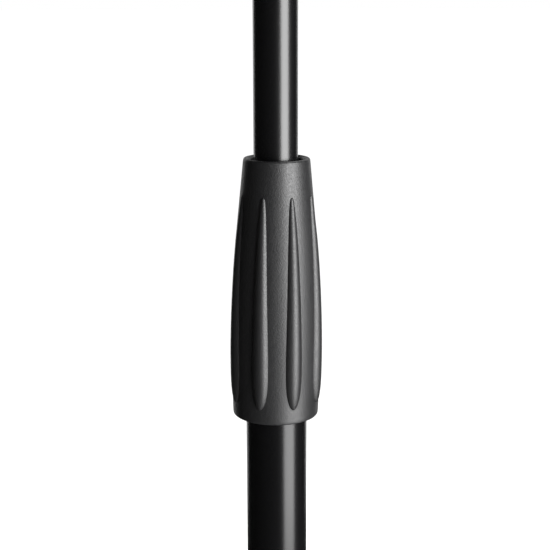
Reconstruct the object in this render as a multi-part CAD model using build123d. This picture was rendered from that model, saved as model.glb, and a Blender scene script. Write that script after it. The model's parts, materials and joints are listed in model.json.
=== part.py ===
from build123d import *
import math
import os

os.makedirs("parts", exist_ok=True)

# A height-adjustable music stand: a hub with three folding legs, a two-tube shaft held by a
# twist clutch, and a tilting desk.  Millimetres, +Z up.  The origin is on the floor, on the
# axis of the shaft.  The player stands at -Y, so the desk faces -Y and +X is to the right.

# ---- driving dimensions ----------------------------------------------------------------
RUNNING_GAP = 0.05          # radial clearance of a shaft that turns or slides in its bore
PRESS_GAP = 0.02            # clearance left in the model between parts that are pressed together

LOWER_TUBE_R = 11.3         # 22.6 mm over the coating
UPPER_TUBE_R = 7.95         # 15.9 mm
TUBE_WALL = 1.2
LOWER_TUBE_Z = (56.0, 640.0)
UPPER_TUBE_Z = (296.0, 946.0)

GRIP_TOP_Z = 713.0
GRIP_LENGTH = 95.7
GRIP_RIM_R = 12.0           # outside radius at the top
GRIP_CONE_END = (28.0, 14.65)   # depth below the top, radius: end of the straight taper
GRIP_BELLY = (69.0, 16.3)       # depth and radius of the widest point
GRIP_BOTTOM_R = 15.85
GRIP_MOUTH_R = 10.0         # open recess around the upper tube
GRIP_MOUTH_CHAMFER = 1.0
GRIP_POCKET_R = 12.2        # bore that holds the nut and clears the lower tube
GRIP_POCKET_DEPTH = 18.0
GRIP_RIM_FILLET = 0.8
GRIP_FOOT_FILLET = 0.6

RIB_COUNT = 8
RIB_FIRST_ANGLE = -111.2    # degrees about Z, from +X
RIB_SPAN = (11.7, 90.1)     # depths of a rib's two ends
RIB_WIDEST = (70.0, 74.5)   # depths between which a rib has its full width
RIB_HALF_WIDTH = 3.15
RIB_TAPER = 0.42            # power of the narrowing towards the top
RIB_FLANK = math.radians(62)    # slope of a rib's side where it leaves the grip
RIB_SECTIONS = 16

HUB_R = 20.0
HUB_Z = (48.0, 120.0)
LEG_COUNT = 3
LEG_FIRST_ANGLE = -90.0     # one leg points at the player
PIN_RADIUS = 46.0           # from the shaft axis to a leg's hinge pin
PIN_Z = 87.0
PIN_R = 3.0
LEG_SLOPE = 17.0            # degrees below horizontal when the leg is open
LEG_TUBE_R = 8.0
LEG_TUBE_X = (22.0, 262.0)  # measured from the pin, along the leg
CLEVIS_GAP = 14.0
EAR_THICKNESS = 5.0
EAR_R = 12.0
KNUCKLE_R = 10.0
WASHER_THICKNESS = 0.8
STOP_GAP = 0.2

BASE_SCREW_Z = 84.0
SCREW_R = 4.0               # M8, for both clamp screws

PIVOT_Z = 985.0
DESK_RECLINE = 25.0         # degrees from upright, as stored
DESK_WIDTH = 500.0
DESK_TOP = 240.0            # above the pivot, along the desk
DESK_BOTTOM = -100.0
DESK_BACK = 28.0            # from the pivot to the back of the desk sheet
SHEET = 1.0
LIP_DEPTH = 50.0
LIP_RETURN = 12.0
EDGE_FLANGE = 11.0          # folded back along the top and the sides
TONGUE_HALF = 5.0           # half the thickness of the tilt head's tongue
BRACKET_SHEET = 2.5

HEAD_R = 12.0
HEAD_Z = (915.0, 950.0)

LOWER_BORE_R = LOWER_TUBE_R - TUBE_WALL
STEM_BORE_R = UPPER_TUBE_R + 0.25
STEM_NECK_R = 10.0
COLLET_R = UPPER_TUBE_R + RUNNING_GAP
TILT_PLANE = Plane(
    origin=(0, 0, PIVOT_Z),
    x_dir=(1, 0, 0),
    z_dir=(0, -math.cos(math.radians(DESK_RECLINE)), math.sin(math.radians(DESK_RECLINE))),
)


# ---- helpers ---------------------------------------------------------------------------
def rod(radius, low, high):
    """Solid cylinder on the Z axis between two heights."""
    align = (Align.CENTER, Align.CENTER, Align.MIN)
    return Pos(0, 0, low) * Cylinder(radius, high - low, align=align)


def ring(outer, inner, low, high):
    return rod(outer, low, high) - rod(inner, low - 1, high + 1)


def block(x, y, z):
    """Box between (low, high) pairs along each axis."""
    size = [pair[1] - pair[0] for pair in (x, y, z)]
    centre = [(pair[1] + pair[0]) / 2 for pair in (x, y, z)]
    return Pos(*centre) * Box(*size)


def turned(*profile):
    """Closed (radius, height) outline turned about the Z axis."""
    return revolve(Plane.XZ * make_face(Polyline(*profile, close=True)), axis=Axis.Z)


def along_x(shape):
    return Rot(0, 90, 0) * shape


def along_y(shape):
    return Rot(-90, 0, 0) * shape


def save(shape, name):
    export_step(shape, f"parts/{name}.step")


# ---- shaft -----------------------------------------------------------------------------
def lower_tube():
    return ring(LOWER_TUBE_R, LOWER_BORE_R, *LOWER_TUBE_Z)


def tube_end_plug():
    low = LOWER_TUBE_Z[0]
    flange = rod(LOWER_TUBE_R, low - 4, low)
    spigot = ring(LOWER_BORE_R - PRESS_GAP, LOWER_BORE_R - 2.5, low, low + 16)
    return flange + spigot


def upper_tube():
    """Inner tube with a rolled bead that stops it inside the lower tube."""
    tube = rod(UPPER_TUBE_R, *UPPER_TUBE_Z)
    bead = Pos(0, 0, UPPER_TUBE_Z[0] + 38) * Torus(UPPER_TUBE_R, 1.0)
    return tube + bead - rod(UPPER_TUBE_R - TUBE_WALL, UPPER_TUBE_Z[0] - 1, UPPER_TUBE_Z[1] + 1)


def guide_bush():
    low = UPPER_TUBE_Z[0] + 6
    sleeve = ring(LOWER_BORE_R - RUNNING_GAP, UPPER_TUBE_R + RUNNING_GAP, low, low + 30)
    relief = ring(LOWER_BORE_R + 1, LOWER_BORE_R - 0.6, low + 8, low + 22)
    return sleeve - relief


def retaining_clip():
    low = UPPER_TUBE_Z[0] + 3
    clip = ring(UPPER_TUBE_R + 1.4, UPPER_TUBE_R + PRESS_GAP, low, low + 2)
    return clip - block((0, 12), (-2, 2), (low - 1, low + 3))


# ---- twist clutch ----------------------------------------------------------------------
def clutch_stem():
    """Threaded stem pressed into the lower tube, with a cone at its top for the collet."""
    top = LOWER_TUBE_Z[1]
    return turned(
        (STEM_BORE_R, top - 28),
        (LOWER_BORE_R - PRESS_GAP, top - 28),
        (LOWER_BORE_R - PRESS_GAP, top),
        (LOWER_TUBE_R, top),
        (LOWER_TUBE_R, top + 4),
        (STEM_NECK_R, top + 4),
        (STEM_NECK_R, top + 28),
        (STEM_BORE_R + 1.2, top + 28),
        (STEM_BORE_R, top + 20),
    )


def clutch_collet():
    """Split ring whose lower cone is pushed into the stem's seat."""
    seat = LOWER_TUBE_Z[1] + 20
    body = turned(
        (COLLET_R, seat + 1),
        (STEM_BORE_R + 0.05, seat + 1),
        (STEM_BORE_R + 1.1, seat + 8),
        (STEM_BORE_R + 1.6, seat + 9),
        (STEM_BORE_R + 1.6, seat + 26),
        (COLLET_R, seat + 26),
    )
    through_slit = block((0, 14), (-1, 1), (seat, seat + 27))
    for angle in (90, 180, 270):
        body -= Rot(0, 0, angle) * block((0, 14), (-0.6, 0.6), (seat, seat + 18))
    return body - through_slit


def thrust_washer():
    low = LOWER_TUBE_Z[1] + 46.1
    return ring(STEM_NECK_R - 0.1, UPPER_TUBE_R + 0.2, low, low + 1.5)


def clutch_nut():
    """Threaded insert of the grip; its shoulder pushes the washer and the collet down."""
    low = LOWER_TUBE_Z[1] + 17
    high = GRIP_TOP_Z - GRIP_POCKET_DEPTH
    shoulder = LOWER_TUBE_Z[1] + 47.8
    return turned(
        (STEM_NECK_R + RUNNING_GAP, low),
        (GRIP_POCKET_R - PRESS_GAP, low),
        (GRIP_POCKET_R - PRESS_GAP, high),
        (UPPER_TUBE_R + 0.4, high),
        (UPPER_TUBE_R + 0.4, shoulder),
        (STEM_NECK_R + RUNNING_GAP, shoulder),
    )


def clutch_wiper():
    high = GRIP_TOP_Z - 8.05
    return ring(10.55, UPPER_TUBE_R + RUNNING_GAP, high - 3.4, high)


def grip_point(depth, radius):
    return (radius, GRIP_TOP_Z - depth)


def grip_body():
    """Straight taper, then two arcs that meet upright at the widest point; still no bore."""
    rim, foot = grip_point(0, GRIP_RIM_R), grip_point(GRIP_LENGTH, GRIP_BOTTOM_R)
    cone_end, belly = grip_point(*GRIP_CONE_END), grip_point(*GRIP_BELLY)
    outline = [
        Line(rim, cone_end),
        TangentArc(belly, cone_end, tangent=(0, 1)),
        TangentArc(belly, foot, tangent=(0, -1)),
        Polyline(foot, (0, foot[1]), (0, rim[1]), rim),
    ]
    body = revolve(Plane.XZ * make_face(Curve() + outline), axis=Axis.Z)
    body = fillet(body.edges().filter_by(GeomType.CIRCLE).group_by(Axis.Z)[-1], GRIP_RIM_FILLET)
    return fillet(body.edges().filter_by(GeomType.CIRCLE).group_by(Axis.Z)[0], GRIP_FOOT_FILLET)


def grip_radius(depth):
    """Outer radius of the body at a depth, with the same taper and arcs."""
    if depth < GRIP_CONE_END[0]:
        return GRIP_RIM_R + (GRIP_CONE_END[1] - GRIP_RIM_R) * depth / GRIP_CONE_END[0]
    end = GRIP_CONE_END if depth < GRIP_BELLY[0] else (GRIP_LENGTH, GRIP_BOTTOM_R)
    run, drop = end[0] - GRIP_BELLY[0], GRIP_BELLY[1] - end[1]
    arc_r = (run**2 + drop**2) / (2 * drop)
    return GRIP_BELLY[1] - arc_r + math.sqrt(arc_r**2 - (depth - GRIP_BELLY[0]) ** 2)


def rib_half_width(depth):
    """A slow taper up to a blunt tip, and half an ellipse at the bottom."""
    if depth < RIB_WIDEST[0]:
        share = (depth - RIB_SPAN[0]) / (RIB_WIDEST[0] - RIB_SPAN[0])
        return RIB_HALF_WIDTH * share**RIB_TAPER
    share = max(depth - RIB_WIDEST[1], 0) / (RIB_SPAN[1] - RIB_WIDEST[1])
    return RIB_HALF_WIDTH * math.sqrt(1 - share**2)


def rib_circle(depth):
    """Distance from the axis and radius of the circle that stands out of the body as a rib."""
    half = rib_half_width(depth)
    radius = half / math.sin(RIB_FLANK)
    return math.sqrt(grip_radius(depth) ** 2 - half**2) - radius * math.cos(RIB_FLANK), radius


def grip_rib():
    """Spindle mostly sunk in the body, with a ball at each end."""
    length = RIB_SPAN[1] - RIB_SPAN[0]
    turns = [math.pi * index / RIB_SECTIONS for index in range(1, RIB_SECTIONS)]
    depths = [RIB_SPAN[0] + length * (1 - math.cos(turn)) / 2 for turn in turns]
    places = [Pos(rib_circle(depth)[0], 0, GRIP_TOP_Z - depth) for depth in depths]
    radii = [rib_circle(depth)[1] for depth in depths]
    spindle = loft([place * Circle(radius) for place, radius in zip(places, radii)])
    return spindle + places[0] * Sphere(radii[0]) + places[-1] * Sphere(radii[-1])


def grip_bore():
    """Everything inside the grip: the mouth, the wiper's groove and the pocket for the nut."""
    step_r = UPPER_TUBE_R + 0.5
    return turned(
        (0, GRIP_TOP_Z + 1),
        (GRIP_MOUTH_R + GRIP_MOUTH_CHAMFER + 1, GRIP_TOP_Z + 1),
        grip_point(GRIP_MOUTH_CHAMFER, GRIP_MOUTH_R),
        grip_point(8.0, GRIP_MOUTH_R),
        grip_point(8.0, 10.6),
        grip_point(11.6, 10.6),
        grip_point(11.6, step_r),
        grip_point(GRIP_POCKET_DEPTH, step_r),
        grip_point(GRIP_POCKET_DEPTH, GRIP_POCKET_R),
        grip_point(GRIP_LENGTH + 1, GRIP_POCKET_R),
        (0, GRIP_TOP_Z - GRIP_LENGTH - 1),
    )


def clutch_grip():
    grip = grip_body()
    rib = grip_rib()
    for index in range(RIB_COUNT):
        grip += Rot(0, 0, RIB_FIRST_ANGLE + index * 360 / RIB_COUNT) * rib
    return grip - grip_bore()


# ---- knobs -----------------------------------------------------------------------------
def lobed_knob(radius, thickness, collar, bore_r, bore_depth):
    """Scalloped knob on the Z axis: a collar at z=0, then the lobed head, with a blind bore."""
    outline = Circle(radius)
    for spot in PolarLocations(radius * 1.22, 6):
        outline -= spot * Circle(radius * 0.42)
    outline = fillet(outline.vertices(), 1.5)
    head = Pos(0, 0, collar) * extrude(outline, thickness)
    faces = head.faces().sort_by(Axis.Z)
    head = fillet(faces[0].edges() + faces[-1].edges(), 1.2)
    neck = rod(radius * 0.52, 0, collar + 1)
    return neck + head - rod(bore_r, -1, bore_depth)


# ---- base ------------------------------------------------------------------------------
def leg_place(index):
    """Frame of one leg: X runs down the leg from the pin, Y is the pin's axis."""
    turn = Rot(0, 0, LEG_FIRST_ANGLE + index * 360 / LEG_COUNT)
    return turn * Pos(PIN_RADIUS, 0, PIN_Z) * Rot(0, LEG_SLOPE, 0)


def clevis():
    """One pair of ears, on +X, with a sloping bridge above them that the leg stops against."""
    half = CLEVIS_GAP / 2 + EAR_THICKNESS
    root = block((0, PIN_RADIUS - EAR_R), (-half, half), (PIN_Z - EAR_R, PIN_Z + 16))
    arm = root
    for low, high in ((CLEVIS_GAP / 2, half), (-half, -CLEVIS_GAP / 2)):
        eye = Pos(PIN_RADIUS, low, PIN_Z) * along_y(rod(EAR_R, 0, EAR_THICKNESS))
        reach = block((PIN_RADIUS - EAR_R, PIN_RADIUS), (low, high), (PIN_Z - EAR_R, PIN_Z + EAR_R))
        arm += eye + reach
    under = KNUCKLE_R + STOP_GAP
    bridge = block((-16, 14), (-half, half), (under, under + 4))
    arm += Pos(PIN_RADIUS, 0, PIN_Z) * Rot(0, LEG_SLOPE, 0) * bridge
    pin_hole = Pos(PIN_RADIUS, 0, PIN_Z) * along_y(rod(PIN_R + PRESS_GAP, -20, 20))
    return arm - pin_hole


def base_hub():
    hub = rod(HUB_R, *HUB_Z)
    rims = hub.edges().filter_by(GeomType.CIRCLE)
    hub = fillet(rims, 2.5)
    for index in range(LEG_COUNT):
        hub += Rot(0, 0, LEG_FIRST_ANGLE + index * 360 / LEG_COUNT) * clevis()
    hub += Pos(0, 0, BASE_SCREW_Z) * along_y(rod(9, 5, 31))
    hub -= rod(LOWER_TUBE_R + PRESS_GAP, LOWER_TUBE_Z[0] - 4, HUB_Z[1] + 1)
    hub -= rod(8, HUB_Z[0] - 1, HUB_Z[1])
    hub -= Pos(0, 0, BASE_SCREW_Z) * along_y(rod(SCREW_R + RUNNING_GAP, 5, 40))
    return hub


def leg_pins():
    """Three hinge rivets with a head at each end."""
    half = CLEVIS_GAP / 2 + EAR_THICKNESS
    pin = rod(PIN_R, -half - 2, half + 2)
    for low in (-half - 2.5, half + 0.03):
        pin += rod(5.5, low, low + 2.47)
    return Compound([leg_place(index) * along_y(pin) for index in range(LEG_COUNT)])


def leg_washers():
    washers = []
    inner_face = CLEVIS_GAP / 2
    for index in range(LEG_COUNT):
        for low in (-inner_face, inner_face - WASHER_THICKNESS):
            washer = ring(KNUCKLE_R - 1, PIN_R + RUNNING_GAP, low, low + WASHER_THICKNESS)
            washers.append(leg_place(index) * along_y(washer))
    return Compound(washers)


def leg_knuckle():
    half = CLEVIS_GAP / 2 - WASHER_THICKNESS - RUNNING_GAP
    eye = along_y(rod(KNUCKLE_R, -half, half))
    heel = block((0, 16), (-half, half), (-KNUCKLE_R, KNUCKLE_R))
    collar = along_x(rod(LEG_TUBE_R, 14, LEG_TUBE_X[0]))
    spigot = along_x(rod(LEG_TUBE_R - TUBE_WALL - PRESS_GAP, 14, LEG_TUBE_X[0] + 30))
    bore = along_y(rod(PIN_R + RUNNING_GAP, -20, 20))
    return eye + heel + collar + spigot - bore


def leg_tube():
    return along_x(ring(LEG_TUBE_R, LEG_TUBE_R - TUBE_WALL, *LEG_TUBE_X))


def leg_foot(index):
    """Rubber boot over the end of a leg, cut flat where it stands on the floor."""
    end = LEG_TUBE_X[1]
    boot = turned(
        (LEG_TUBE_R + PRESS_GAP, end - 26),
        (LEG_TUBE_R + 2.2, end - 26),
        (LEG_TUBE_R + 4.0, end - 2),
        (LEG_TUBE_R + 4.0, end + 6),
        (LEG_TUBE_R + 1.0, end + 10),
        (0, end + 10),
        (0, end + 0.1),
        (LEG_TUBE_R + PRESS_GAP, end + 0.1),
    )
    floor = block((-400, 400), (-400, 400), (-60, 0))
    return leg_place(index) * along_x(boot) - floor


def base_knob():
    knob = lobed_knob(17, 13, 4, SCREW_R + PRESS_GAP, 13)
    return Pos(0, 32, BASE_SCREW_Z) * along_y(knob)


def base_screw():
    screw = rod(SCREW_R, LOWER_TUBE_R + 0.1, 44.5)
    return Pos(0, 0, BASE_SCREW_Z) * along_y(screw)


# ---- tilt head -------------------------------------------------------------------------
def tilt_head():
    """Socket on the upper tube with an upright tongue that carries the desk's pivot."""
    socket = rod(HEAD_R, *HEAD_Z)
    socket = fillet(socket.edges().filter_by(GeomType.CIRCLE), 1.5)
    tongue = block((-TONGUE_HALF, TONGUE_HALF), (-10, 10), (HEAD_Z[1] - 8, PIVOT_Z))
    eye = Pos(0, 0, PIVOT_Z) * along_x(rod(EAR_R, -TONGUE_HALF, TONGUE_HALF))
    head = socket + tongue + eye
    head -= rod(UPPER_TUBE_R + PRESS_GAP, HEAD_Z[0] - 1, UPPER_TUBE_Z[1])
    head -= Pos(0, 0, PIVOT_Z) * along_x(rod(SCREW_R + RUNNING_GAP, -20, 20))
    for z in head_screw_heights():
        head -= Pos(0, 0, z) * along_y(rod(2.5 + PRESS_GAP, 5, 20))
    return head


def head_screw_heights():
    return (HEAD_Z[0] + 9, HEAD_Z[0] + 22)


def head_screws():
    """Two socket set screws in the back of the head."""
    screw = rod(2.5, UPPER_TUBE_R + 0.05, HEAD_R - 0.2)
    socket = extrude(RegularPolygon(1.4, 6), HEAD_R)
    screw -= Pos(0, 0, HEAD_R - 2.5) * socket
    return Compound([Pos(0, 0, z) * along_y(screw) for z in head_screw_heights()])


def ear_spacing():
    """Inner and outer faces of the bracket's ears, from the middle plane."""
    inner = TONGUE_HALF + 1.2
    return inner, inner + BRACKET_SHEET


def tilt_bolt():
    outer = ear_spacing()[1]
    head = Pos(-outer, 0, 0) * along_x(rod(8, -3, 0))
    head = fillet(head.edges().filter_by(GeomType.CIRCLE).sort_by(Axis.X)[0], 2.2)
    bolt = head + along_x(rod(SCREW_R, -outer - 1, outer + 16))
    return Pos(0, 0, PIVOT_Z) * bolt


def tilt_washers():
    """Fibre friction washers between the tongue and the bracket's ears."""
    inner = ear_spacing()[0]
    low = TONGUE_HALF + 0.05
    washer = ring(9.5, SCREW_R + RUNNING_GAP, low, inner - 0.05)
    pair = [along_x(washer), Rot(0, 0, 180) * along_x(washer)]
    return Pos(0, 0, PIVOT_Z) * Compound(pair)


def knob_washer():
    outer = ear_spacing()[1]
    washer = ring(8.5, SCREW_R + PRESS_GAP, outer + 0.05, outer + 1.5)
    return Pos(0, 0, PIVOT_Z) * along_x(washer)


def tilt_knob():
    knob = lobed_knob(19, 14, 5, 6.5 + PRESS_GAP, 16)
    return Pos(ear_spacing()[1] + 1.6, 0, PIVOT_Z) * along_x(knob)


def knob_insert():
    start = ear_spacing()[1] + 1.8
    insert = ring(6.5, SCREW_R + RUNNING_GAP, start, start + 15.5)
    return Pos(0, 0, PIVOT_Z) * along_x(insert)


# ---- desk: X across, Y up the desk, Z out of its front, from the pivot --------------------
def rivet_spots():
    return [(side * 16, along) for side in (-1, 1) for along in (-30, 55, 115)]


def desk_bracket():
    inner, outer = ear_spacing()
    back = DESK_BACK - BRACKET_SHEET
    plate = block((-24, 24), (-40, 130), (back, DESK_BACK))
    plate = fillet(plate.edges().filter_by(Axis.Z), 8)
    ear = Circle(EAR_R) + Pos(0, DESK_BACK - 1) * Rectangle(72, 1)
    ear = extrude(make_hull(ear.edges()), BRACKET_SHEET)
    upright = Rot(0, 0, 90) * Rot(90, 0, 0)
    bracket = plate
    for start in (inner, -outer):
        bracket += Pos(start, 0, 0) * upright * ear
    bracket -= along_x(rod(SCREW_R + PRESS_GAP, -20, 20))
    for x, y in rivet_spots():
        bracket -= Pos(x, y, 0) * rod(2.5 + PRESS_GAP, back - 1, DESK_BACK + 1)
    return TILT_PLANE * bracket


def desk_pan():
    """Flat sheet with its top and side edges folded back."""
    height = DESK_TOP - DESK_BOTTOM + 20
    middle = DESK_TOP - height / 2
    front = DESK_BACK + SHEET
    outside = extrude(RectangleRounded(DESK_WIDTH, height, 18), EDGE_FLANGE + SHEET)
    inner_size = (DESK_WIDTH - 2 * SHEET, height - 2 * SHEET)
    inside = extrude(RectangleRounded(*inner_size, 18 - SHEET), EDGE_FLANGE)
    outside = fillet(outside.faces().sort_by(Axis.Z)[-1].edges(), 2.5)
    inside = fillet(inside.faces().sort_by(Axis.Z)[-1].edges(), 1.5)
    pan = Pos(0, middle, front - EDGE_FLANGE - SHEET) * (outside - inside)
    return pan - block((-300, 300), (DESK_BOTTOM - 60, DESK_BOTTOM + 6), (-50, 100))


def desk_plate():
    centre = DESK_BACK + SHEET / 2
    low = DESK_BOTTOM + SHEET / 2
    front = DESK_BACK + SHEET + LIP_DEPTH
    section = FilletPolyline(
        (centre, DESK_BOTTOM + 10),
        (centre, low),
        (front, low),
        (front, low + LIP_RETURN),
        radius=3,
    )
    lip = extrude(trace(section, SHEET), DESK_WIDTH - 5)
    lip = Pos(DESK_WIDTH / 2 - 2.5, 0, 0) * Rot(0, -90, 0) * lip
    plate = desk_pan() + lip
    for x, y in rivet_spots():
        plate -= Pos(x, y, 0) * rod(2.5 + PRESS_GAP, DESK_BACK - 1, DESK_BACK + SHEET + 1)
    return TILT_PLANE * plate


def desk_rivets():
    """Rivets set flush with the desk's front, with a domed head behind the bracket."""
    back = DESK_BACK - BRACKET_SHEET
    rivet = rod(2.5, back - 1, DESK_BACK + SHEET)
    head = rod(4.5, back - 1.5, back)
    head = fillet(head.edges().filter_by(GeomType.CIRCLE).sort_by(Axis.Z)[0], 1.2)
    rivet += head
    return TILT_PLANE * Compound([Pos(x, y, 0) * rivet for x, y in rivet_spots()])


def lip_trim():
    """Soft strip pushed over the free edge of the lip."""
    middle = DESK_BACK + SHEET + LIP_DEPTH
    edge = DESK_BOTTOM + SHEET / 2 + LIP_RETURN
    half = DESK_WIDTH / 2 - 8
    strip = block((-half, half), (edge - 5, edge + 1.6), (middle - 1.7, middle + 1.7))
    strip = fillet(strip.edges().filter_by(Axis.X).group_by(Axis.Y)[-1], 1.4)
    gap = SHEET / 2 + PRESS_GAP
    strip -= block((-half - 1, half + 1), (edge - 6, edge + PRESS_GAP), (middle - gap, middle + gap))
    return TILT_PLANE * strip


# ---- write one STEP file per piece ---------------------------------------------------------
PIECES = (
    lower_tube,
    tube_end_plug,
    upper_tube,
    guide_bush,
    retaining_clip,
    clutch_stem,
    clutch_collet,
    thrust_washer,
    clutch_nut,
    clutch_wiper,
    clutch_grip,
    base_hub,
    leg_pins,
    leg_washers,
    base_knob,
    base_screw,
    tilt_head,
    head_screws,
    tilt_bolt,
    tilt_washers,
    knob_washer,
    tilt_knob,
    knob_insert,
    desk_bracket,
    desk_plate,
    desk_rivets,
    lip_trim,
)

for piece in PIECES:
    save(piece(), piece.__name__)

for leg in range(LEG_COUNT):
    place = leg_place(leg)
    save(place * leg_knuckle(), f"leg_knuckle_{leg + 1}")
    save(place * leg_tube(), f"leg_tube_{leg + 1}")
    save(leg_foot(leg), f"leg_foot_{leg + 1}")
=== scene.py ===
import json
import math

import bmesh
import bpy
from mathutils import Euler, Matrix, Vector


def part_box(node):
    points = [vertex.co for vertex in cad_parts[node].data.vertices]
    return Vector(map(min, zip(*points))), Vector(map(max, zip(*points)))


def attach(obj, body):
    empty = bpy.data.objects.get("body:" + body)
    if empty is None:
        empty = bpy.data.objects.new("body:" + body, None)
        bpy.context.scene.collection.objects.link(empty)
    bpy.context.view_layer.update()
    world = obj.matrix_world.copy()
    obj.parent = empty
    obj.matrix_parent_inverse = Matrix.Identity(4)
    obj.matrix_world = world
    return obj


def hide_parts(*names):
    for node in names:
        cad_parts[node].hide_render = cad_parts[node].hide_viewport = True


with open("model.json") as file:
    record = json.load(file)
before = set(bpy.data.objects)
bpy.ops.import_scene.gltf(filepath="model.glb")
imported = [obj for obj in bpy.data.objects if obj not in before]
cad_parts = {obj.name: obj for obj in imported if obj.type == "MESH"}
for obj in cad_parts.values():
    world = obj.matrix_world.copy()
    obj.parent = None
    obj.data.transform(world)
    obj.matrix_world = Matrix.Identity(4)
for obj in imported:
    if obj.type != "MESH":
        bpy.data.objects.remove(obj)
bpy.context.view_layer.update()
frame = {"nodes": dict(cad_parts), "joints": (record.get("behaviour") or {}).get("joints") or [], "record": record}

MM = 0.001

# ---- sizes, in millimetres unless said, repeated from the design -------------------------
LOWER_TUBE_R = 11.3
UPPER_TUBE_R = 7.95
TUBE_WALL = 1.2

GRIP_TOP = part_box("clutch_grip")[1].z / MM
GRIP_LENGTH = 95.7
GRIP_RIM_R = 12.0
GRIP_CONE_END = (28.0, 14.65)   # depth below the top, radius
GRIP_BELLY = (69.0, 16.3)
GRIP_BOTTOM_R = 15.85
GRIP_MOUTH_R = 10.0             # open recess around the upper tube
GRIP_MOUTH_CHAMFER = 1.0
GRIP_POCKET_R = 12.2            # the bore that holds the nut and clears the lower tube
GRIP_POCKET_DEPTH = 18.0
GRIP_STEP_R = UPPER_TUBE_R + 0.5
WIPER_GROOVE_R = 10.6
WIPER_GROOVE = (8.0, 11.6)      # depths of the groove's two sides
GRIP_RIM_FILLET = 0.8
GRIP_FOOT_FILLET = 0.6
GRIP_LEAN = 0.4                 # degrees; the grip sits slightly askew on its thread
ROW_STEP = 0.5                  # between the rows of the grip's mesh
FINE_ROW_STEP = 0.06            # the same at the ends of the ribs

RIB_COUNT = 8
RIB_FIRST_ANGLE = -111.2        # degrees about +Z, from +X
RIB_SPAN = (12.6, 90.1)         # depths of a rib's two ends
RIB_TIP_CAP = 0.9               # length of the rounding at the upper tip
RIB_END_POWER = 2.7             # bluntness of the lower end; 2 is half an ellipse
RIB_WIDEST = (70.0, 74.5)       # depths between which a rib has its full width
RIB_HALF_WIDTH = 3.15
RIB_TAPER = 0.42                # power of the narrowing towards the top
RIB_FLANK = math.radians(62)    # slope of a rib's side where it leaves the body
RIB_ROOT_BLEND = 0.04           # softness of the crease beside a rib
RIB_EDGE_STEP = 0.1             # between the columns on either side of a rib's edge
RIB_LEAST_ANGLE = 0.012         # radians; keeps the columns apart where there is no rib

BEAD_FROM_END = 38.0            # middle of the rolled bead, above the upper tube's lower end
BEAD_RISE = 1.0
BEAD_HALF_CREST = 0.5
BEAD_HALF_FOOT = 1.2

LEG_SLOPE = 17.0                # degrees below horizontal
LEG_TUBE_R = 8.0
LEG_TUBE_SPAN = (22.0, 262.0)   # from the hinge pin, along the leg
FOOT_GRASP = 26.0               # length of leg tube inside a foot
FOOT_BORE_R = LEG_TUBE_R + 0.02
FOOT_COLLAR_R = LEG_TUBE_R + 2.2
FOOT_GROOVE_R = LEG_TUBE_R + 1.5
FOOT_BALL_R = LEG_TUBE_R + 4.0
FOOT_GROOVES = 3
FOOT_GROOVE_PITCH = 3.2

KNOB_LOBES = 6
KNOB_NECK = 0.52                # radius of the neck, as a share of the knob's
KNOB_DIP = 0.2                  # depth of the hollows between lobes, as a share of the radius
BASE_KNOB = (17, 13, 4, 4.02, 13)   # radius, thickness, collar, bore's radius and depth
TILT_KNOB = (19, 14, 5, 6.52, 16)

# ---- camera: the photograph's view of the clutch -----------------------------------------
CAMERA_DISTANCE = 0.427         # metres from the shaft's axis
CAMERA_ABOVE_GRIP = 0.057       # metres above the grip's top
CAMERA_SIDE = -0.0004           # metres to the right of the shaft
CAMERA_PITCH = 13.2             # degrees below the horizon
CAMERA_ROLL = -0.18             # degrees
LENS = 78.5                     # millimetres, on a 36 mm sensor


def add_camera():
    """The photograph's view, which sets the scene's camera."""
    data = bpy.data.cameras.new("camera")
    data.lens = LENS
    data.sensor_width = 36
    data.clip_start = 0.01
    data.clip_end = 200
    camera = bpy.data.objects.new("camera", data)
    bpy.context.scene.collection.objects.link(camera)
    camera.location = (CAMERA_SIDE, -CAMERA_DISTANCE, GRIP_TOP * MM + CAMERA_ABOVE_GRIP)
    tilt = Euler((math.radians(90 - CAMERA_PITCH), 0, 0)).to_matrix()
    camera.rotation_euler = (tilt @ Matrix.Rotation(math.radians(CAMERA_ROLL), 3, "Z")).to_euler()
    bpy.context.scene.camera = camera


# ---- mesh helpers --------------------------------------------------------------------------
def new_piece(name, bm, material, smooth_angle=35):
    """Mesh object from a bmesh, shaded smooth apart from edges sharper than smooth_angle."""
    bmesh.ops.recalc_face_normals(bm, faces=bm.faces)
    mesh = bpy.data.meshes.new(name)
    bm.to_mesh(mesh)
    bm.free()
    for polygon in mesh.polygons:
        polygon.use_smooth = True
    mesh.set_sharp_from_angle(angle=math.radians(smooth_angle))
    mesh.materials.append(material)
    piece = bpy.data.objects.new(name, mesh)
    bpy.context.scene.collection.objects.link(piece)
    return piece


def rounded(outline, steps=5):
    """Closed outline of (radius, height, fillet) corners, with each fillet as a short arc."""
    points = []
    count = len(outline)
    for index, (x, y, fillet) in enumerate(outline):
        corner = Vector((x, y))
        if fillet <= 0:
            points.append(corner)
            continue
        before = (Vector(outline[index - 1][:2]) - corner).normalized()
        after = (Vector(outline[(index + 1) % count][:2]) - corner).normalized()
        half = before.angle(after) / 2
        reach = fillet / math.tan(half)
        centre = corner + (before + after).normalized() * fillet / math.sin(half)
        start = corner + before * reach - centre
        end = corner + after * reach - centre
        for step in range(steps + 1):
            points.append(centre + start.slerp(end, step / steps) * fillet)
    return points


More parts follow.
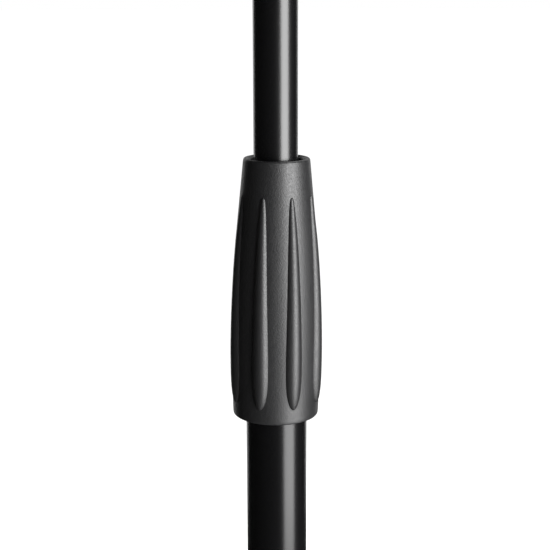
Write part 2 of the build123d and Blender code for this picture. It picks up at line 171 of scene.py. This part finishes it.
def lathe(name, outline, material, segments=96, place=None, shape=None):
    """Closed outline turned about the Z axis, in millimetres, then placed by a matrix.
    shape(radius, angle) may change the radius, as for the lobes of a knob."""
    bm = bmesh.new()
    points = rounded(outline)
    columns = []
    for column in range(segments):
        angle = 2 * math.pi * column / segments
        verts = []
        for point in points:
            radius = shape(point.x, angle) if shape else point.x
            spot = (radius * math.cos(angle) * MM, radius * math.sin(angle) * MM, point.y * MM)
            verts.append(bm.verts.new(spot))
        columns.append(verts)
    for column in range(segments):
        here, there = columns[column], columns[(column + 1) % segments]
        for row in range(len(points)):
            below = (row + 1) % len(points)
            bm.faces.new((here[row], there[row], there[below], here[below]))
    bmesh.ops.remove_doubles(bm, verts=bm.verts, dist=1e-6)
    if place is not None:
        bmesh.ops.transform(bm, matrix=place, verts=bm.verts)
    return new_piece(name, bm, material)


# ---- clutch grip ---------------------------------------------------------------------------
def arc_height(depth, belly, end):
    """Radius on an arc that is upright at the belly and passes through end."""
    run, drop = end[0] - belly[0], belly[1] - end[1]
    arc_r = (run * run + drop * drop) / (2 * drop)
    return belly[1] - arc_r + math.sqrt(arc_r**2 - (depth - belly[0]) ** 2)


def body_radius(depth):
    """Outer radius of the grip between its ribs: a taper, then two arcs that meet at the belly."""
    if depth < GRIP_CONE_END[0]:
        return GRIP_RIM_R + (GRIP_CONE_END[1] - GRIP_RIM_R) * depth / GRIP_CONE_END[0]
    if depth < GRIP_BELLY[0]:
        return arc_height(depth, GRIP_BELLY, GRIP_CONE_END)
    return arc_height(depth, GRIP_BELLY, (GRIP_LENGTH, GRIP_BOTTOM_R))


def rib_half_width(depth):
    """A slow taper up to a rounded tip, and a blunt rounding at the bottom."""
    if not RIB_SPAN[0] < depth < RIB_SPAN[1]:
        return 0.0
    if depth < RIB_WIDEST[0]:
        taper_start = RIB_SPAN[0] - RIB_TIP_CAP
        share = (depth - taper_start) / (RIB_WIDEST[0] - taper_start)
        short = max(1 - (depth - RIB_SPAN[0]) / RIB_TIP_CAP, 0)
        return RIB_HALF_WIDTH * share**RIB_TAPER * math.sqrt(1 - short**2)
    share = max(depth - RIB_WIDEST[1], 0) / (RIB_SPAN[1] - RIB_WIDEST[1])
    return RIB_HALF_WIDTH * math.sqrt(1 - share**RIB_END_POWER)


def ribbed_radius(depth, angle):
    """Radius at an angle from the middle of a rib, whose section is part of a circle."""
    radius = body_radius(depth)
    half = rib_half_width(depth)
    circle = half / math.sin(RIB_FLANK)
    centre = math.sqrt(radius**2 - half**2) - circle * math.cos(RIB_FLANK)
    inside = circle**2 - (centre * math.sin(angle)) ** 2
    if inside <= 0:
        return radius
    rib = centre * math.cos(angle) + math.sqrt(inside)
    blend = max(0.0, 1 - abs(rib - radius) / RIB_ROOT_BLEND)
    return max(rib, radius) + RIB_ROOT_BLEND * blend * blend / 4


def grip_angles(depth):
    """Column angles of one row: dense across each rib and beside its edges."""
    half = max(math.asin(rib_half_width(depth) / body_radius(depth)), RIB_LEAST_ANGLE)
    beside = RIB_EDGE_STEP / body_radius(depth)
    across = [math.sin(math.pi / 2 * step / 8) * half for step in range(9)]
    across[-1:] = [half - beside, half, half + beside, half + 3 * beside]
    last = math.pi / RIB_COUNT
    start = across[-1]
    across += [start + (last - start) * step / 5 for step in range(1, 5)]
    one_side = [-angle for angle in reversed(across[1:])] + across + [last]
    angles = []
    for rib in range(RIB_COUNT):
        middle = math.radians(RIB_FIRST_ANGLE) + rib * 2 * math.pi / RIB_COUNT
        angles += [(middle + angle, angle) for angle in one_side]
    return angles


def grip_depths():
    """Row depths: even along the body, close together at the tips and the ends of the ribs."""
    depths = [GRIP_RIM_FILLET + 0.4 + ROW_STEP * step for step in range(190)]
    tips = [RIB_SPAN[0] - 0.2 + FINE_ROW_STEP * step for step in range(50)]
    ends = [RIB_SPAN[1] + 0.2 - FINE_ROW_STEP * step for step in range(90)]
    last = GRIP_LENGTH - GRIP_FOOT_FILLET - 0.1
    return sorted(set(round(depth, 3) for depth in depths + tips + ends if depth < last))


def grip_inside():
    """Outline from the foot up through the pocket, the wiper's groove and the mouth to the rim."""
    groove_top, groove_bottom = WIPER_GROOVE
    return rounded(
        [
            (GRIP_BOTTOM_R, GRIP_LENGTH, GRIP_FOOT_FILLET),
            (GRIP_POCKET_R, GRIP_LENGTH, 0.4),
            (GRIP_POCKET_R, GRIP_POCKET_DEPTH, 0.3),
            (GRIP_STEP_R, GRIP_POCKET_DEPTH, 0.2),
            (GRIP_STEP_R, groove_bottom, 0.2),
            (WIPER_GROOVE_R, groove_bottom, 0.2),
            (WIPER_GROOVE_R, groove_top, 0.2),
            (GRIP_MOUTH_R, groove_top, 0.2),
            (GRIP_MOUTH_R, GRIP_MOUTH_CHAMFER, 0.6),
            (GRIP_MOUTH_R + GRIP_MOUTH_CHAMFER, 0.0, 0.25),
            (GRIP_RIM_R, 0.0, GRIP_RIM_FILLET),
        ]
    )


def grip_rows():
    """Rings of (radius, angle, depth): down the ribbed outside, then up the plain inside."""
    rows = []
    for depth in grip_depths():
        angles = grip_angles(depth)
        rows.append([(ribbed_radius(depth, local), angle, depth) for angle, local in angles])
    for point in grip_inside():
        rows.append([(point.x, angle, point.y) for angle, _ in grip_angles(0)])
    return rows


def add_grip(material):
    """The clutch's ribbed sleeve, a closed mesh of rings joined from each to the next."""
    bm = bmesh.new()
    grid = []
    for row in grip_rows():
        spots = [
            (r * math.cos(a) * MM, r * math.sin(a) * MM, (GRIP_TOP - depth) * MM)
            for r, a, depth in row
        ]
        grid.append([bm.verts.new(spot) for spot in spots])
    columns = len(grid[0])
    for index, row in enumerate(grid):
        below = grid[(index + 1) % len(grid)]
        for column in range(columns):
            beside = (column + 1) % columns
            bm.faces.new((row[column], row[beside], below[beside], below[column]))
    bmesh.ops.remove_doubles(bm, verts=bm.verts, dist=2e-6)
    lean = Matrix.Rotation(math.radians(GRIP_LEAN), 3, "Y")
    middle = Vector((0, 0, (GRIP_TOP - GRIP_LENGTH / 2) * MM))
    bmesh.ops.rotate(bm, verts=bm.verts, cent=middle, matrix=lean)
    grip = new_piece("ribbed_grip", bm, material, smooth_angle=40)
    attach(grip, "grip")
    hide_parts("clutch_grip")


# ---- tubes ---------------------------------------------------------------------------------
def tube_outline(radius, low, high):
    """Section of a plain tube, for lathe."""
    bore = radius - TUBE_WALL
    return [(radius, low, 0.3), (radius, high, 0.3), (bore, high, 0.2), (bore, low, 0.2)]


def add_tubes(material, lower_material):
    """The two shaft tubes; the upper one has a rolled bead that stops it in the clutch."""
    low, high = (corner.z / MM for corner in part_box("lower_tube"))
    outline = tube_outline(LOWER_TUBE_R, low, high)
    lower = lathe("lower_shaft_tube", outline, lower_material, segments=192)
    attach(lower, "shaft")
    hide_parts("lower_tube")

    low, high = (corner.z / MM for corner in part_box("upper_tube"))
    bore = UPPER_TUBE_R - TUBE_WALL
    bead = low + BEAD_FROM_END
    outline = [
        (UPPER_TUBE_R, low, 0.3),
        (UPPER_TUBE_R, bead - BEAD_HALF_FOOT, 0.4),
        (UPPER_TUBE_R + BEAD_RISE, bead - BEAD_HALF_CREST, 0.3),
        (UPPER_TUBE_R + BEAD_RISE, bead + BEAD_HALF_CREST, 0.3),
        (UPPER_TUBE_R, bead + BEAD_HALF_FOOT, 0.4),
        (UPPER_TUBE_R, high, 0.3),
        (bore, high, 0.2),
        (bore, low, 0.2),
    ]
    upper = lathe("upper_shaft_tube", outline, material, segments=192)
    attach(upper, "upper_shaft")
    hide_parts("upper_tube")


# ---- legs ----------------------------------------------------------------------------------
def leg_place(joint):
    """Matrix that takes the Z axis to the line of a leg, with its zero at the hinge pin."""
    axis = joint["axis"]
    turn = Matrix.Rotation(math.atan2(-axis[0], axis[1]), 4, "Z")
    slope = Matrix.Rotation(math.radians(LEG_SLOPE), 4, "Y")
    z_to_x = Matrix.Rotation(math.radians(90), 4, "Y")
    return Matrix.Translation(joint["pos_m"]) @ turn @ slope @ z_to_x


def add_leg_tube(index, place, material):
    """Plain tube from near the hinge to inside the foot."""
    outline = tube_outline(LEG_TUBE_R, *LEG_TUBE_SPAN)
    tube = lathe(f"leg_{index}_steel_tube", outline, material, segments=96, place=place)
    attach(tube, f"leg_{index}")
    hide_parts(f"leg_tube_{index}")


def add_foot(index, place, material):
    """Rubber boot with grooves round its collar, pressed flat where it meets the floor."""
    end = LEG_TUBE_SPAN[1]
    mouth = end - FOOT_GRASP
    outline = [(FOOT_BORE_R, mouth, 0.3), (FOOT_COLLAR_R, mouth, 0.6)]
    for groove in range(FOOT_GROOVES):
        start = mouth + 3 + groove * FOOT_GROOVE_PITCH
        outline += [
            (FOOT_COLLAR_R, start, 0.2),
            (FOOT_GROOVE_R, start + 0.5, 0.2),
            (FOOT_GROOVE_R, start + 1.1, 0.2),
            (FOOT_COLLAR_R, start + 1.6, 0.2),
        ]
    outline += [
        (FOOT_COLLAR_R + 0.1, mouth + 13, 1.0),
        (FOOT_BALL_R, end - 5, 3.0),
        (FOOT_BALL_R, end + 7, 2.0),
        (FOOT_BALL_R - 3.0, end + 10, 1.0),
        (0, end + 10, 0),
        (0, end + 0.1, 0),
        (FOOT_BORE_R, end + 0.1, 0.1),
    ]
    foot = lathe(f"foot_{index}_boot", outline, material, segments=96, place=place)
    for vertex in foot.data.vertices:
        vertex.co.z = max(vertex.co.z, 0.0)
    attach(foot, f"leg_{index}")
    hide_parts(f"leg_foot_{index}")


def add_legs(tube_material, rubber):
    """A tube and a foot for each hinge of the record, in the record's order."""
    hinges = [joint for joint in frame["joints"] if joint["child"].startswith("leg_")]
    for index, joint in enumerate(hinges, start=1):
        place = leg_place(joint)
        add_leg_tube(index, place, tube_material)
        add_foot(index, place, rubber)


# ---- knobs ---------------------------------------------------------------------------------
def add_knob(node, body, place, sizes, material):
    """Six-lobed hand knob with a crowned cap and a blind bore for its screw or insert."""
    radius, thickness, collar, bore_r, bore_depth = sizes
    neck = radius * KNOB_NECK
    top = collar + thickness

    def lobed(r, angle):
        if r <= neck + 0.1:
            return r
        dip = KNOB_DIP * ((1 + math.cos(KNOB_LOBES * angle)) / 2) ** 1.3
        return max(neck, r * (1 - dip))

    outline = [
        (bore_r, 0, 0.3),
        (neck, 0, 0.4),
        (neck, collar, 0.6),
        (radius, collar, 1.6),
        (radius, top - 1.5, 2.2),
        (radius * 0.72, top - 0.6, 2.0),
        (neck * 0.9, top - 0.2, 0),
        (0, top, 0),
        (0, bore_depth, 0),
        (bore_r, bore_depth, 0.2),
    ]
    knob = lathe(f"{node}_moulding", outline, material, segments=144, place=place, shape=lobed)
    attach(knob, body)
    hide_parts(node)


def add_knobs(material):
    """The base's clamp knob behind the hub and the tilt knob beside the head."""
    z_to_y = Matrix.Rotation(math.radians(-90), 4, "X")
    z_to_x = Matrix.Rotation(math.radians(90), 4, "Y")
    low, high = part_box("base_knob")
    base = Matrix.Translation((0, low.y, (low.z + high.z) / 2)) @ z_to_y
    add_knob("base_knob", "base_clamp", base, BASE_KNOB, material)
    low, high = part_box("tilt_knob")
    tilt = Matrix.Translation((low.x, 0, (low.z + high.z) / 2)) @ z_to_x
    add_knob("tilt_knob", "tilt_clamp", tilt, TILT_KNOB, material)


# ---- materials -----------------------------------------------------------------------------
def node_material(name, base, roughness, metallic=0.0, specular=0.5):
    """Principled material with constants on its own sockets; returns it, its tree and shader."""
    material = bpy.data.materials.new(name)
    material.use_nodes = True
    shader = material.node_tree.nodes["Principled BSDF"]
    shader.inputs["Base Color"].default_value = (*base, 1)
    shader.inputs["Roughness"].default_value = roughness
    shader.inputs["Metallic"].default_value = metallic
    shader.inputs["Specular IOR Level"].default_value = specular
    return material, material.node_tree, shader


def noise_node(tree, scale, detail=2.0, roughness=0.5):
    """3D noise in object space; scale is the number of features in a metre."""
    place = tree.nodes.new("ShaderNodeTexCoord")
    noise = tree.nodes.new("ShaderNodeTexNoise")
    noise.inputs["Scale"].default_value = scale
    noise.inputs["Detail"].default_value = detail
    noise.inputs["Roughness"].default_value = roughness
    tree.links.new(place.outputs["Object"], noise.inputs["Vector"])
    return noise


def vary_roughness(tree, shader, noise, low, high):
    """Spreads the middle of a noise over a range of roughness."""
    node = tree.nodes.new("ShaderNodeMapRange")
    node.inputs["From Min"].default_value = 0.3
    node.inputs["From Max"].default_value = 0.7
    node.inputs["To Min"].default_value = low
    node.inputs["To Max"].default_value = high
    tree.links.new(noise.outputs["Fac"], node.inputs["Value"])
    tree.links.new(node.outputs["Result"], shader.inputs["Roughness"])


def bump(tree, shader, noise, distance):
    """Raises the surface by a noise; distance is the height of its relief in metres."""
    node = tree.nodes.new("ShaderNodeBump")
    node.inputs["Distance"].default_value = distance
    tree.links.new(noise.outputs["Fac"], node.inputs["Height"])
    tree.links.new(node.outputs["Normal"], shader.inputs["Normal"])


def enamel_material(name, specular):
    """Smooth semi-gloss black: faint orange peel, and slow changes of gloss."""
    material, tree, shader = node_material(name, (0.002, 0.002, 0.0022), 0.25, specular=specular)
    vary_roughness(tree, shader, noise_node(tree, 12), 0.24, 0.28)
    bump(tree, shader, noise_node(tree, 700), 0.000003)
    return material


def pebbled_material():
    """Matte black moulding with a fine pebbled skin."""
    material, tree, shader = node_material("pebbled_plastic", (0.006, 0.006, 0.0064), 0.47)
    vary_roughness(tree, shader, noise_node(tree, 1500), 0.4, 0.54)
    bump(tree, shader, noise_node(tree, 2200, detail=3), 0.00008)
    return material


def powder_coat_material():
    """Black powder coat: a tight, slightly raised orange-peel texture."""
    material, tree, shader = node_material("powder_coat", (0.011, 0.011, 0.0115), 0.42)
    vary_roughness(tree, shader, noise_node(tree, 300), 0.36, 0.48)
    bump(tree, shader, noise_node(tree, 1100, detail=3), 0.00008)
    return material


def rubber_material():
    """Dull black rubber with a cloudy, slightly rough skin."""
    material, tree, shader = node_material("dull_rubber", (0.014, 0.014, 0.014), 0.7, specular=0.35)
    vary_roughness(tree, shader, noise_node(tree, 120, detail=5), 0.6, 0.85)
    bump(tree, shader, noise_node(tree, 900, detail=4), 0.00006)
    return material


def moulded_material(name, base, roughness):
    """Plain moulded plastic with a faint mottling of gloss."""
    material, tree, shader = node_material(name, base, roughness)
    vary_roughness(tree, shader, noise_node(tree, 200, detail=4), roughness - 0.06, roughness + 0.06)
    bump(tree, shader, noise_node(tree, 1500), 0.00003)
    return material


def turned_metal_material(name, base, roughness):
    """Bare metal with fine machining lines and uneven polish."""
    material, tree, shader = node_material(name, base, roughness, metallic=1.0)
    lines = noise_node(tree, 150, detail=6, roughness=0.7)
    vary_roughness(tree, shader, lines, roughness - 0.08, roughness + 0.1)
    bump(tree, shader, noise_node(tree, 3000), 0.00001)
    return material


def all_materials():
    """One material for each of the record's slots."""
    return {
        "tube_satin_black": enamel_material("black_enamel", 0.42),
        "grip_plastic": pebbled_material(),
        "powder_coat": powder_coat_material(),
        "cast_aluminium": powder_coat_material(),
        "black_rubber": rubber_material(),
        "black_plastic": moulded_material("black_moulding", (0.014, 0.014, 0.014), 0.5),
        "natural_nylon": moulded_material("natural_nylon", (0.74, 0.72, 0.66), 0.4),
        "plated_steel": turned_metal_material("zinc_plated_steel", (0.55, 0.56, 0.58), 0.32),
        "machined_aluminium": turned_metal_material("machined_aluminium", (0.8, 0.8, 0.81), 0.3),
        "turned_brass": turned_metal_material("turned_brass", (0.8, 0.6, 0.28), 0.28),
    }


def dress_cad_nodes(materials):
    """Gives every CAD node the material of its slot."""
    for part in frame["record"]["subparts"]:
        mesh = frame["nodes"][part["node"]].data
        mesh.materials.clear()
        mesh.materials.append(materials[part["material_slot"]])


# ---- stage ---------------------------------------------------------------------------------
def add_floor():
    """A wide pale floor, just under the feet."""
    bm = bmesh.new()
    bmesh.ops.create_circle(bm, cap_ends=True, radius=60, segments=64)
    material = node_material("pale_floor", (0.86, 0.86, 0.86), 0.9, specular=0.0)[0]
    floor = new_piece("floor", bm, material)
    floor.location.z = -0.0005
    floor.visible_glossy = False


def add_softbox(name, place, target, size, power):
    """Rectangular light at a place in metres, turned to a target; size in metres, power in watts."""
    data = bpy.data.lights.new(name, "AREA")
    data.shape = "RECTANGLE"
    data.size, data.size_y = size
    data.energy = power
    light = bpy.data.objects.new(name, data)
    bpy.context.scene.collection.objects.link(light)
    light.location = place
    light.rotation_euler = (Vector(target) - Vector(place)).to_track_quat("-Z", "Y").to_euler()
    light.visible_camera = False


def polar(azimuth, distance, height):
    """A place by its angle to the right of the camera's side of the shaft."""
    angle = math.radians(azimuth)
    return (distance * math.sin(angle), -distance * math.cos(angle), height)


def add_lights():
    """A bright softbox on the right with a dim foot, faint fills, edge lights and a high soft sun."""
    middle = (0, 0, 0.7)
    add_softbox("key", polar(48, 0.85, 0.7), middle, (0.62, 0.9), 28.2)
    add_softbox("key_low", polar(48, 0.85, 0.125), (0, 0, 0.125), (0.62, 0.25), 2.6)
    add_softbox("backdrop", polar(180, 1.5, 1.2), middle, (1.6, 1.2), 3)
    add_softbox("bounce", (0, -0.3, 0.02), (0, -0.3, 1), (0.8, 0.8), 0.6)
    add_softbox("edge_right", polar(150, 1.6, 0.8), middle, (0.5, 1.8), 4)
    add_softbox("edge_left", polar(-150, 1.6, 0.8), middle, (0.5, 1.8), 4)
    data = bpy.data.lights.new("overhead", "SUN")
    data.energy = 3.9
    data.angle = math.radians(40)
    sun = bpy.data.objects.new("overhead", data)
    bpy.context.scene.collection.objects.link(sun)
    sun.rotation_euler = (math.radians(-12), math.radians(10), 0)


def add_world():
    """White where the camera sees past the floor; dim for everything that it lights."""
    world = bpy.data.worlds.new("studio")
    world.use_nodes = True
    tree = world.node_tree
    background = tree.nodes["Background"]
    background.inputs["Color"].default_value = (1, 1, 1, 1)
    rays = tree.nodes.new("ShaderNodeLightPath")
    level = tree.nodes.new("ShaderNodeMapRange")
    level.inputs["To Min"].default_value = 0.03
    level.inputs["To Max"].default_value = 1.0
    tree.links.new(rays.outputs["Is Camera Ray"], level.inputs["Value"])
    tree.links.new(level.outputs["Result"], background.inputs["Strength"])
    bpy.context.scene.world = world


add_camera()
materials = all_materials()
dress_cad_nodes(materials)
add_grip(materials["grip_plastic"])
add_tubes(materials["tube_satin_black"], enamel_material("lower_enamel", 0.24))
add_legs(materials["tube_satin_black"], materials["black_rubber"])
add_knobs(materials["grip_plastic"])
add_floor()
add_lights()
add_world()
bpy.context.scene.view_settings.view_transform = "Standard"
